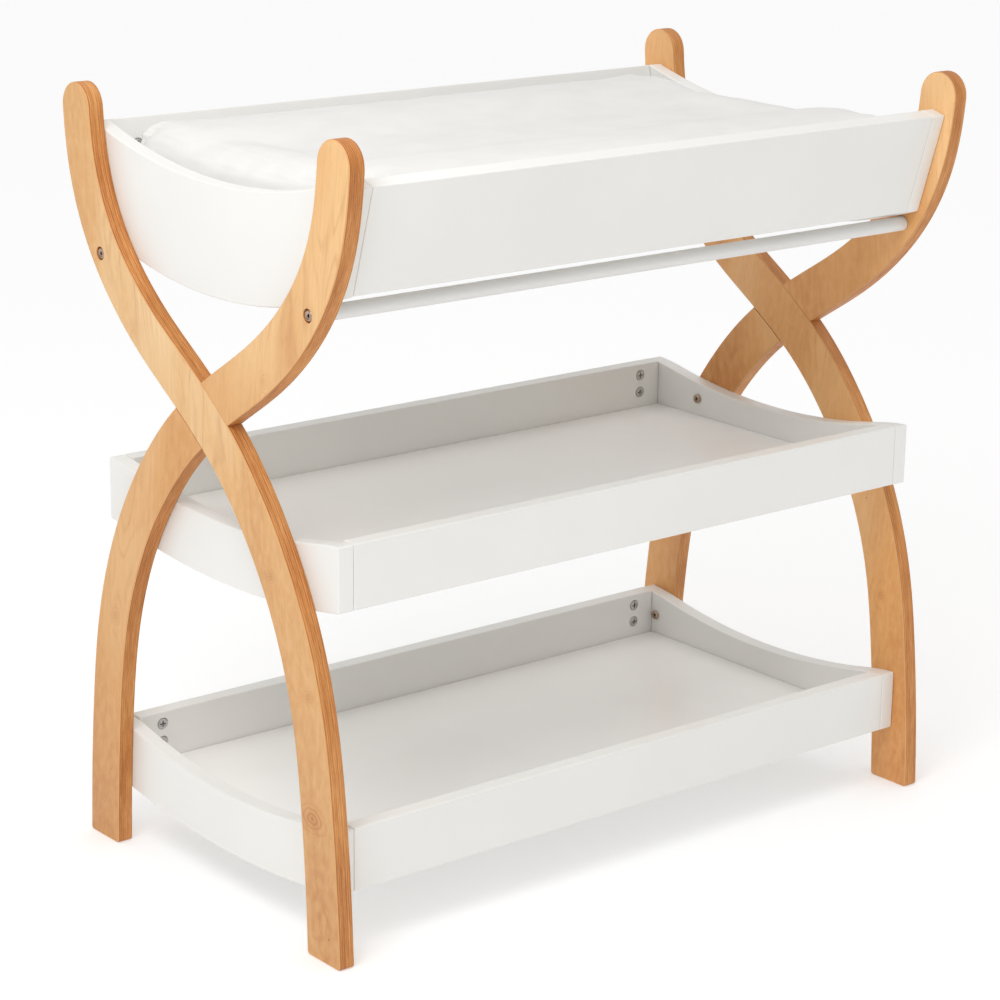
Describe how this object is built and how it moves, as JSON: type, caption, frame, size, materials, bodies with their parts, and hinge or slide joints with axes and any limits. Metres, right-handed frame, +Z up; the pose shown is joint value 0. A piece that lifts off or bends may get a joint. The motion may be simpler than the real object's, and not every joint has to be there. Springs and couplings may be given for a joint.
{
  "type": "changing table",
  "caption": "Open changing table with crossed curved plywood end frames, white open trays, round rails below the top tray and a loose contoured pad.",
  "frame": {"origin": "on the floor, under the centre of the table", "axes": "+X along the length to the user's right, the user stands at -Y, +Z up"},
  "size_m": [0.941, 0.5702, 0.9399],
  "materials": {
    "birch_plywood": "clear satin lacquer over pale birch faces, darker layered edges",
    "white_board": "satin white paint on fibreboard",
    "white_rail": "satin white paint on a round wooden rail",
    "pad_cover": "soft white knitted cover over foam",
    "bolt_steel": "nickel-plated socket-head bolts",
    "cam_zinc": "dull zinc cam discs with a cross recess"
  },
  "bodies": {
    "table": {"bottom_tray_back": "white_board", "bottom_tray_base": "white_board", "bottom_tray_bolt_back_left": "bolt_steel", "bottom_tray_bolt_back_right": "bolt_steel", "bottom_tray_bolt_front_left": "bolt_steel", "bottom_tray_bolt_front_right": "bolt_steel", "bottom_tray_cam_back_left_high": "cam_zinc", "bottom_tray_cam_back_left_low": "cam_zinc", "bottom_tray_cam_back_right_high": "cam_zinc", "bottom_tray_cam_back_right_low": "cam_zinc", "bottom_tray_cam_front_left_high": "cam_zinc", "bottom_tray_cam_front_left_low": "cam_zinc", "bottom_tray_cam_front_right_high": "cam_zinc", "bottom_tray_cam_front_right_low": "cam_zinc", "bottom_tray_end_left": "white_board", "bottom_tray_end_right": "white_board", "bottom_tray_front": "white_board", "leg_back_left": "birch_plywood", "leg_back_right": "birch_plywood", "leg_front_left": "birch_plywood", "leg_front_right": "birch_plywood", "middle_tray_back": "white_board", "middle_tray_base": "white_board", "middle_tray_bolt_back_left": "bolt_steel", "middle_tray_bolt_back_right": "bolt_steel", "middle_tray_bolt_front_left": "bolt_steel", "middle_tray_bolt_front_right": "bolt_steel", "middle_tray_cam_back_left_high": "cam_zinc", "middle_tray_cam_back_left_low": "cam_zinc", "middle_tray_cam_back_right_high": "cam_zinc", "middle_tray_cam_back_right_low": "cam_zinc", "middle_tray_cam_front_left_high": "cam_zinc", "middle_tray_cam_front_left_low": "cam_zinc", "middle_tray_cam_front_right_high": "cam_zinc", "middle_tray_cam_front_right_low": "cam_zinc", "middle_tray_end_left": "white_board", "middle_tray_end_right": "white_board", "middle_tray_front": "white_board", "rail_back": "white_rail", "rail_bolt_back_left": "bolt_steel", "rail_bolt_back_right": "bolt_steel", "rail_bolt_front_left": "bolt_steel", "rail_bolt_front_right": "bolt_steel", "rail_front": "white_rail", "top_tray_back": "white_board", "top_tray_base": "white_board", "top_tray_bolt_back_left": "bolt_steel", "top_tray_bolt_back_right": "bolt_steel", "top_tray_bolt_front_left": "bolt_steel", "top_tray_bolt_front_right": "bolt_steel", "top_tray_cam_back_left": "cam_zinc", "top_tray_cam_back_right": "cam_zinc", "top_tray_cam_front_left": "cam_zinc", "top_tray_cam_front_right": "cam_zinc", "top_tray_end_left": "white_board", "top_tray_end_right": "white_board", "top_tray_front": "white_board"},
    "pad": {"pad": "pad_cover"}
  },
  "joints": [
    {"name": "pad_lift", "type": "slide", "parent": "table", "child": "pad", "axis": [0, 0, 1], "range_m": [0, 0.25]}
  ]
}
